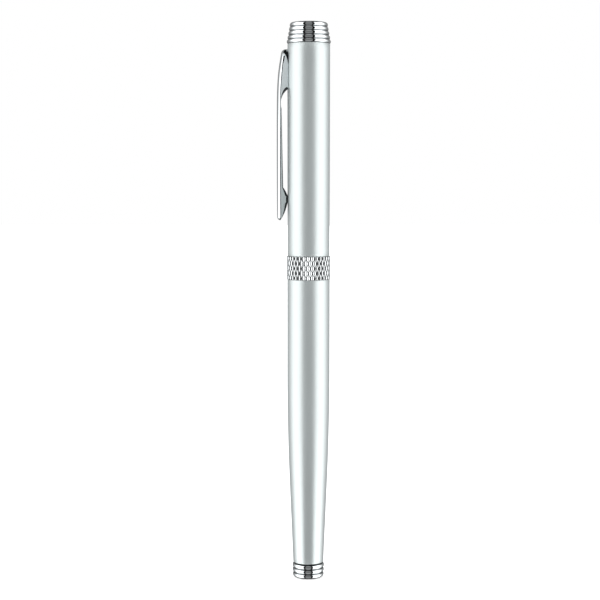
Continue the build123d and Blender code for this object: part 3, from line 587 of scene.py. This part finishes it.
def cap_shell():
    """Cap tube with eased ends and the slot that takes the clip's tongue."""
    bottom, top = low_z("cap_tube"), high_z("cap_tube")
    lip, radius, bore, lip_top, ease = 5.13, outer_radius("cap_tube"), 4.74, 100.0, 0.06
    slot_foot, slot_top, slot_half = 128.5, 130.25, 1.15
    slot_columns, segments = 14, 256

    def radius_at(z):
        return lip + (radius - lip) * min(1.0, (z - bottom) / (lip_top - bottom))

    heights = [bottom + ease] + [float(z) for z in np.linspace(bottom + 1, slot_foot, 34)]
    heights += [slot_top, top - ease]
    outline = [(lip - ease, bottom)] + [(radius_at(z), z) for z in heights] + [(radius - ease, top)]
    outline += [(bore, top), (bore, slot_top), (bore, slot_foot), (bore, bottom)]
    slot_rows = (outline.index((radius_at(slot_foot), slot_foot)), outline.index((bore, slot_top)))

    # Columns of the tube as angles from the slot's middle, the slot's own columns first.
    half = math.asin(slot_half / radius)
    offsets = [half * (2 * k / slot_columns - 1) for k in range(slot_columns)]
    rest = segments - slot_columns
    offsets += [half + (TURN - 2 * half) * k / rest for k in range(rest)]
    offsets = [offset if offset <= math.pi else offset - TURN for offset in offsets]

    def angle_at(offset, r):
        """Spreads the columns so that the slot's sides stay parallel from the outside to the bore."""
        spread = math.asin(slot_half / r)
        if abs(offset) <= half:
            return math.pi + offset * spread / half
        shrink = (math.pi - spread) / (math.pi - half)
        return math.pi + math.copysign(math.pi - (math.pi - abs(offset)) * shrink, offset)

    mesh = bmesh.new()
    rows = [[mesh.verts.new(at_angle(r, angle_at(offset, r), z)) for offset in offsets] for r, z in outline]
    for row, lower in enumerate(rows):
        upper = rows[(row + 1) % len(rows)]
        for column in range(segments):
            after = (column + 1) % segments
            if row not in slot_rows or column >= slot_columns:
                mesh.faces.new((lower[column], lower[after], upper[after], upper[column]))
    foot_out, top_out = rows[slot_rows[0]], rows[slot_rows[0] + 1]
    top_in, foot_in = rows[slot_rows[1]], rows[slot_rows[1] + 1]
    for column in range(slot_columns):
        after = column + 1
        mesh.faces.new((foot_out[column], foot_out[after], foot_in[after], foot_in[column]))
        mesh.faces.new((top_out[column], top_in[column], top_in[after], top_out[after]))
    for column in (0, slot_columns):
        mesh.faces.new((foot_out[column], top_out[column], top_in[column], foot_in[column]))
    return new_piece("cap_shell", "cap_tube", mesh)


# ---- clip ----------------------------------------------------------------------------------
# Distances are from the pen's axis, on the clip's side.
# Height, half width, distance of the fold and distance of the domed face, as the CAD gives them.
CLIP_STATIONS = np.array([
    (88.5, 1.30, 6.92, 7.68),
    (92.0, 1.35, 6.95, 7.74),
    (97.0, 1.42, 6.98, 7.78),
    (107.0, 1.56, 7.00, 7.81),
    (116.0, 1.68, 7.00, 7.79),
    (121.0, 1.76, 6.90, 7.71),
    (125.0, 1.80, 6.60, 7.44),
    (128.4, 1.80, 6.25, 6.95),
    (131.0, 1.70, 5.80, 6.50),
])
DOME_COLUMNS, BEND_COLUMNS, FLAT_COLUMNS, EDGE_COLUMNS = 7, 3, 3, 4


class ClipShape:
    """The clip's sizes at any height, and the rows of points that its skin is made of."""

    arch_radius, toe_radius = 1.917, 1.306
    brow_z, toe_face_z = 129.3, 90.1
    # Distance and height where the arm's edge starts above the pad, and where it ends under the ears.
    arm_foot, arm_top = (6.28, 97.1), (6.66, 116.4)
    pad_foot, pad_top, ear_foot = 93.2, 95.2, 120.95
    channel_z, channel_reach = (98.2, 122.0, 128.2), (7.05, 6.95, 6.2)

    def __init__(self):
        bottom, top = low_z("clip"), high_z("clip")
        self.seat = outer_radius("cap_tube") + 0.035
        self.half_at, self.fold_at, self.face_at = (
            smooth_through(CLIP_STATIONS[:, 0], CLIP_STATIONS[:, k]) for k in (1, 2, 3))
        self.arch_z, self.toe_z = top - self.arch_radius, bottom + self.toe_radius
        self.brow = [(5.7, top)] + arc((5.7, top), (6.42, 130.28), (6.78, self.brow_z), 10)
        self.brow.reverse()
        self.toe = [(7.15, bottom)] + arc((7.15, bottom), (7.56, 89.36), (7.72, self.toe_face_z), 8)
        self.ramp = [(6.92, bottom)] + arc((6.92, bottom), (5.97, 90.8), (self.seat, self.pad_foot), 12)

    def half(self, z):
        """Half the clip's width, with the round toe and the round arch."""
        wide, smallest = self.half_at(z), 0.0036
        if z > self.arch_z:
            wide = min(wide, math.sqrt(max(self.arch_radius ** 2 - (z - self.arch_z) ** 2, smallest)))
        if z < self.toe_z:
            wide = min(wide, math.sqrt(max(self.toe_radius ** 2 - (z - self.toe_z) ** 2, smallest)))
        return wide

    def face(self, z):
        """Distance of the domed face, with its eased brow and toe."""
        reach = self.face_at(z)
        if z > self.brow_z:
            reach = min(reach, straight_through(self.brow, z))
        if z < self.toe_face_z:
            reach = min(reach, straight_through(self.toe, z))
        return reach

    def rows(self):
        """Rows from the tip up, as (height of the face, distance and height of the free edge). A
        distance of 0 stands for an edge that follows the cap."""
        made = []
        for degrees in (87, 72, 58, 44, 30, 16, 2):
            z = self.toe_z - self.toe_radius * math.sin(math.radians(degrees))
            made.append((z, straight_through(self.ramp, z), z))
        lifted = [point for point in self.ramp if point[1] > self.toe_z + 0.15]
        for number, (reach, z) in enumerate(lifted):
            made.append((z + 0.7 * (number + 1) / len(lifted), reach, z))
        made += [(93.95, 0, 93.22), (94.2, 0, 94.2), (94.4, 0, 95.18)]
        notch_foot = (self.seat, self.pad_top)
        notch = [notch_foot] + arc(notch_foot, (5.7, 96.2), self.arm_foot, 8)
        for number, (reach, z) in enumerate(notch):
            made.append((94.45 + 2.4 * number / 8, reach, z))
        for z in np.linspace(98.2, self.arm_top[1], 15):
            made.append((float(z), straight_through([self.arm_foot, self.arm_top], z), float(z)))
        for number, (reach, z) in enumerate(arc(self.arm_top, (6.38, 119.6), (self.seat, self.ear_foot), 12)):
            made.append((self.arm_top[1] + 5.9 * (number + 1) / 12, reach, z))
        made.append((122.5, 0, 121.1))
        for number in range(1, 9):
            made.append((122.3 + 5.6 * number / 8, 0, 120.97 + 6.93 * number / 8))
        for degrees in (-14, -4, 6, 16, 26, 36, 46, 56, 65, 73, 80, 86):
            z = self.arch_z + self.arch_radius * math.sin(math.radians(degrees))
            made.append((z, 0, z))
        return made

    def side(self, face_z, edge_reach, edge_z):
        """Half of a row as (distance, half width, height): from the middle of the dome over the fold
        and the flat side, round the free edge, and across its ledge into the channel."""
        wide, edge_wide, crest = self.half(face_z), self.half(edge_z), self.face(face_z)
        fold = max(min(self.fold_at(face_z), crest - 0.1), self.seat + 0.08)
        sag = max(crest - fold, 0.05)
        dome = 0.5 * (wide * wide + sag * sag) / sag
        open_angle = math.asin(min(1.0, wide / dome))
        made = []
        for step in range(DOME_COLUMNS + 1):
            angle = open_angle * step / DOME_COLUMNS
            made.append(Vector((crest - dome * (1 - math.cos(angle)), dome * math.sin(angle), face_z)))
        corner = made.pop()

        def inner(y):
            return max(edge_reach, math.sqrt(self.seat * self.seat - y * y))

        # The fold is soft on the arm and rounder towards the clip's top.
        bend = min(0.18 + 0.5 * max(0.0, min(1.0, (face_z - 127.0) / 2.5)), 0.4 * wide)
        edge = Vector((inner(edge_wide), edge_wide, edge_z))
        back, down = made[-1] - corner, edge - corner
        start = corner + back.normalized() * min(bend, 0.6 * back.length)
        end = corner + down.normalized() * min(bend, 0.3 * down.length)
        made += [bend_at(start, corner, end, t) for t in (0.0, 0.35, 0.7, 1.0)]
        length = (edge - end).length
        radius = min(0.5, 0.33 * length, 0.4 * edge_wide)
        made += [end + down.normalized() * (length - radius) * t for t in (0.33, 0.66)]
        for degrees in (0, 25, 50, 72, 90):
            angle = math.radians(degrees)
            y = edge_wide - radius * (1 - math.cos(angle))
            point = edge - down.normalized() * radius * (1 - math.sin(angle))
            made.append(Vector((max(point.x, inner(y)) if edge_reach == 0 else point.x, y, point.z)))
        ledge = min(0.8, 0.55 * edge_wide)
        floor_reach = inner(ledge) + 0.015
        if self.channel_z[0] <= edge_z <= self.channel_z[-1]:
            deep = min(float(np.interp(face_z, self.channel_z, self.channel_reach)), crest - 0.45)
            floor_reach = max(deep, floor_reach)
        floor_z = 0.5 * (edge_z + face_z) if floor_reach - inner(ledge) > 0.1 else edge_z
        return made + [Vector((inner(ledge), ledge, edge_z)), Vector((floor_reach, ledge, floor_z))]


def clip_finish(column, z, seated):
    """Finish of a clip face. Columns count from the middle of the dome; the rounded free edge gets
    painted shade where it stands clear of the cap, and a thin painted shade lines the fold below FOLD_TURN."""
    past_fold = column - DOME_COLUMNS - BEND_COLUMNS
    if z > SHOULDER_TOP:
        return POLISHED
    if 0 <= past_fold < FLAT_COLUMNS:
        return BRUSHED
    if FLAT_COLUMNS <= past_fold < FLAT_COLUMNS + EDGE_COLUMNS:
        return BRUSHED if seated and FOOT_OF_EAR < z else PAINTED_EDGE_SHADE
    if z > FOLD_TURN and -4 <= past_fold < 0:
        return BRUSHED
    return PAINTED_EDGE_SHADE if -2 <= past_fold < 0 else POLISHED


def clip_strip():
    """Stamped clip: domed face, folded sides with rounded edges, a channel behind, and the tongue."""
    shape = ClipShape()
    rows = shape.rows()
    mesh = bmesh.new()
    loops = []
    for row in rows:
        side = shape.side(*row)
        floor_middle = Vector((-side[-1].x, 0, side[-1].z))
        left = [Vector((-point.x, -point.y, point.z)) for point in side]
        right = [Vector((-point.x, point.y, point.z)) for point in side[1:]]
        loops.append([point * MM for point in left + [floor_middle] + right[::-1]])
    made = skin(mesh, loops, closed=False)
    mesh.faces.new(made[0])
    mesh.faces.new(list(reversed(made[-1])))
    mesh.faces.ensure_lookup_table()
    columns = len(loops[0])
    for number in range((len(loops) - 1) * columns):
        row, column = divmod(number, columns)
        _, edge_reach, edge_z = rows[row]
        nearest = min(column, columns - 1 - column)
        mesh.faces[number].material_index = clip_finish(nearest, edge_z, edge_reach == 0)
    # Tongue through the slot, with its corners eased.
    inner, outer, half, foot, top = -3.75, -5.6, 1.05, 128.65, 130.1
    ring = rounded([(outer, -half), (inner, -half), (inner, half), (outer, half)], 0.2)
    ends = skin(mesh, [[Vector((x, y, z)) * MM for x, y in ring] for z in (foot, top)], closed=False)
    mesh.faces.new(list(reversed(ends[0])))
    mesh.faces.new(ends[1])
    return new_piece("clip_strip", "clip", mesh, CLIP_FINISHES)


# ---- section -------------------------------------------------------------------------------
def collar():
    """Collar: a flange at its foot, the groove of the snap ring and a fine line near the top."""
    foot, top = low_z("section_collar"), high_z("section_collar")
    bore, body, flange, flange_top, slope = 3.61, 4.3, 4.35, foot + 1.0, 0.08
    groove, groove_foot, groove_top = 3.9, 76.4, 77.4
    line, line_foot, line_top = 4.22, top - 0.5, top - 0.22
    return lathe("collar_ring", "section_collar", rounded([
        (bore, foot), (flange, foot), (flange, flange_top), (body, flange_top + slope),
        (body, groove_foot), (groove, groove_foot), (groove, groove_top), (body, groove_top),
        (body, line_foot), (line, line_foot + slope), (line, line_top - slope), (body, line_top),
        (body, top), (bore, top),
    ], 0.07))


def grip():
    """Grip: a long slight waist, bored for the coupling below, the refill and the nose above."""
    foot, top = low_z("grip_section"), high_z("grip_section")
    root, waist, mouth = (4.3, foot), (4.12, 97.0), (4.15, top)
    coupling_bore, coupling_top, bore, nose_bore = 3.61, 84.0, 3.1, 3.6
    return lathe("grip_barrel", "grip_section", rounded([
        (coupling_bore, foot), root, *arc(root, waist, mouth, 40), (nose_bore, top),
        (nose_bore, NOSE_FOOT), (bore, NOSE_FOOT), (bore, coupling_top), (coupling_bore, coupling_top),
    ], 0.08))


def nose():
    """Nose cone: a spigot in the grip, a round taper, and an inner shoulder that stops the refill."""
    top = high_z("nose_cone")
    root, flank, tip = (4.15, 108.0), (3.12, 113.2), (1.6, top)
    spigot, seam, seam_z, bore = 3.59, 4.07, 108.12, 3.1
    holder_bore, holder_foot, mouth, stop_z = 2.05, 107.8, 1.3, 115.5
    return lathe("nose_shell", "nose_cone", rounded([
        (spigot, NOSE_FOOT), (spigot, root[1]), (seam, root[1]), (root[0], seam_z),
        *arc(root, flank, tip, 28)[1:], (mouth, top), (mouth, stop_z), (holder_bore, stop_z),
        (holder_bore, holder_foot), (bore, holder_foot), (bore, NOSE_FOOT),
    ], 0.05))


def thread_sleeve():
    """Brass sleeve: an outside thread below the collar, and plain inside the grip."""
    foot, top, mouth = low_z("section_coupling"), high_z("section_coupling"), low_z("section_collar")
    pitch, depth, crest_radius, bore, plain = 0.75, 0.3, 3.9, 3.1, 3.6
    thread_foot, thread_top, plain_foot = foot + 0.3, mouth - 0.35, mouth - 0.3

    def thread(angle, radius, z):
        if radius < crest_radius - 0.01 or not thread_foot < z < thread_top:
            return radius
        phase = (z / pitch - angle / TURN) % 1.0
        return radius - depth * max(0.0, abs(2 * phase - 1) * 1.25 - 0.2)

    turns = [(crest_radius, float(z)) for z in np.linspace(thread_foot, thread_top, 62)]
    return lathe("thread_sleeve", "section_coupling", [
        (bore, foot), (plain, foot), *turns, (plain, plain_foot), (plain, top), (bore, top)], 128, thread)


# ---- refill --------------------------------------------------------------------------------
def refill_shell():
    """Refill tube, with a crimp near each end."""
    foot, top = low_z("refill_tube"), high_z("refill_tube")
    bore, body, crimp, slope, width = 2.6, 2.98, 2.86, 0.2, 0.6
    outline = [(bore, foot), (body, foot)]
    for crimp_foot in (17.2, top - 2.2):
        crimp_top = crimp_foot + width
        outline += [(body, crimp_foot), (crimp, crimp_foot + slope), (crimp, crimp_top - slope),
                    (body, crimp_top)]
    outline += [(body, top), (bore, top)]
    return lathe("refill_shell", "refill_tube", rounded(outline, 0.08), 128)


def point_holder():
    """Moulded holder: a stopper in the tube and a neck round the point."""
    foot, top = low_z("tip_holder"), high_z("tip_holder")
    stopper, stopper_top, neck, neck_chamfer = 2.59, 107.8, 1.95, 0.3
    feed_bore, point_bore, point_foot = 0.61, 0.96, 111.5
    return lathe("point_holder", "tip_holder", rounded([
        (feed_bore, foot), (stopper, foot), (stopper, stopper_top), (neck, stopper_top),
        (neck, top - neck_chamfer), (neck - neck_chamfer, top), (point_bore, top),
        (point_bore, point_foot), (feed_bore, point_foot),
    ], 0.08), 96)


def point_shell(ball_centre):
    """Turned point: a stem in the holder, a flange, a cone, and a lip crimped over the ball."""
    foot, top = low_z("tip_cone"), high_z("tip_cone")
    socket, feed_bore, feed_top, throat = 0.37, 0.61, 117.0, 0.2
    stem = [(feed_bore, foot), (0.9, foot), (0.95, foot + 0.05), (0.95, 115.2)]
    flange = [(1.17, 115.2), (1.2, 115.23), (1.2, 117.16), (1.18, 117.24)]
    cone = [(0.62, top - 0.72), (0.6, top - 0.66), (0.455, top - 0.06), (0.42, top)]
    cup = [(socket * math.cos(math.radians(a)), ball_centre + socket * math.sin(math.radians(a)))
           for a in (23.9, 0, -20, -40, -57.3)]
    feed = [(throat, feed_top), (feed_bore, feed_top)]
    return lathe("point_shell", "tip_cone", stem + flange + cone + cup + feed, 96)


def ball_tip():
    """The ball. Returns the height of its centre."""
    low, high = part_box("writing_ball")
    centre = 0.5 * (low.z + high.z)
    mesh = bmesh.new()
    bmesh.ops.create_icosphere(mesh, subdivisions=4, radius=0.5 * (high.z - low.z))
    bmesh.ops.translate(mesh, verts=mesh.verts, vec=(0, 0, centre))
    new_piece("ball_tip", "writing_ball", mesh)
    return centre / MM


barrel()
tail()
crown()
band()
cap_shell()
clip_strip()
collar()
grip()
nose()
thread_sleeve()
refill_shell()
point_holder()
point_shell(ball_tip())

for node, thing in frame["nodes"].items():
    if not thing.hide_render:
        thing.data.materials.clear()
        thing.data.materials.append(MATERIALS[node_row(node)[1]])

# ---- studio --------------------------------------------------------------------------------
scene = bpy.context.scene
scene.view_settings.view_transform = "Standard"


def studio_world():
    """White paper to the camera. Reflections see two tall soft boxes, a grey card round the lens,
    dark gaps between them, and a dim room behind. Matt surfaces are lit evenly from all sides."""
    world = bpy.data.worlds.new("studio")
    scene.world = world
    world.use_nodes = True
    world.node_tree.nodes.clear()
    t = Tree(world.node_tree)
    x, y, z = t.split(t.node("ShaderNodeTexCoord").outputs["Generated"])
    # Angle round the pen from the camera's side, 0 at the lens and 1 straight behind the pen.
    bearing = t.maths("ARCTAN2", x, t.maths("MULTIPLY", y, -1.0))
    round_pen = t.maths("DIVIDE", t.maths("ABSOLUTE", bearing), math.pi)
    # Height angle, 0 straight down and 1 straight up.
    level = t.maths("SQRT", t.maths("ADD", t.maths("MULTIPLY", x, x), t.maths("MULTIPLY", y, y)))
    rise = t.maths("ADD", t.maths("DIVIDE", t.maths("ARCTAN2", z, level), math.pi), 0.5)
    box_round = t.greys(round_pen, [
        (0.0, 0.0), (0.20, 0.0), (0.212, 1.0), (0.52, 1.0), (0.60, 0.50), (0.71, 0.17), (1.0, 0.10)], "EASE")
    box_rise = t.greys(rise, [
        (0.0, 0.25), (0.10, 0.03), (0.18, 0.03), (0.22, 1.0), (0.78, 1.0), (0.82, 0.03), (0.90, 0.03),
        (1.0, 0.25)], "EASE")
    card_round = t.greys(round_pen, [(0.0, 1.0), (0.118, 1.0), (0.13, 0.0), (1.0, 0.0)], "EASE")
    card_rise = t.greys(rise, [
        (0.0, 0.10), (0.30, 0.22), (0.38, 0.08), (0.43, 0.05), (0.47, 0.11), (0.52, 0.10), (0.66, 0.055),
        (0.76, 0.20), (1.0, 0.10)], "EASE")
    studio = t.maths("ADD", t.maths("MULTIPLY", box_round, box_rise),
                     t.maths("MULTIPLY", card_round, card_rise))

    def background(colour, strength):
        made = t.node("ShaderNodeBackground")
        t.feed(made.inputs["Color"], colour)
        t.feed(made.inputs["Strength"], strength)
        return made.outputs[0]

    def choose(by_ray, otherwise, chosen):
        made = t.node("ShaderNodeMixShader")
        for socket, value in zip(made.inputs, (by_ray, otherwise, chosen)):
            t.feed(socket, value)
        return made.outputs[0]

    ray = t.node("ShaderNodeLightPath").outputs
    reflected = background(studio, 1.84)
    even = background((0.97, 1.0, 1.0, 1), 0.97)
    paper = background((1, 1, 1, 1), 1.0)
    lit = choose(ray["Is Diffuse Ray"], reflected, even)
    seen = choose(ray["Is Camera Ray"], lit, paper)
    t.feed(t.node("ShaderNodeOutputWorld").inputs["Surface"], seen)


def floor():
    """Plain white floor, lit from within so that it stays pale round the pen."""
    reach, drop = 3.0, 0.0002
    corners = [(-reach, -reach, 0), (reach, -reach, 0), (reach, reach, 0), (-reach, reach, 0)]
    data = bpy.data.meshes.new("floor")
    data.from_pydata(corners, [], [(0, 1, 2, 3)])
    plane = bpy.data.objects.new("floor", data)
    plane.location.z = -drop
    scene.collection.objects.link(plane)
    s = Shader("floor_paper")
    tone = s.colours(s.noise(6, 3.0), [(0.3, (0.86, 0.86, 0.86)), (0.7, (0.9, 0.9, 0.9))])
    data.materials.append(s.set(Base_Color=tone, Roughness=0.9, Specular_IOR_Level=0.0,
                                Emission_Color=(1, 1, 1, 1), Emission_Strength=0.62))
    plane.visible_glossy = False
    plane.visible_diffuse = False


def camera():
    """Level with the cap, 350 mm from the pen, tipped down a little, the pen just right of centre."""
    place, tipped_down, lean = (-0.00211, -0.350, 0.098), 4.678, 0.03
    data = bpy.data.cameras.new("camera")
    data.lens = 85.3
    data.clip_start, data.clip_end = 0.01, 20
    thing = bpy.data.objects.new("camera", data)
    thing.location = place
    thing.rotation_mode = "QUATERNION"
    thing.rotation_quaternion = (Quaternion((1, 0, 0), math.radians(90 - tipped_down))
                                 @ Quaternion((0, 0, 1), math.radians(lean)))
    scene.collection.objects.link(thing)
    scene.camera = thing


studio_world()
floor()
camera()
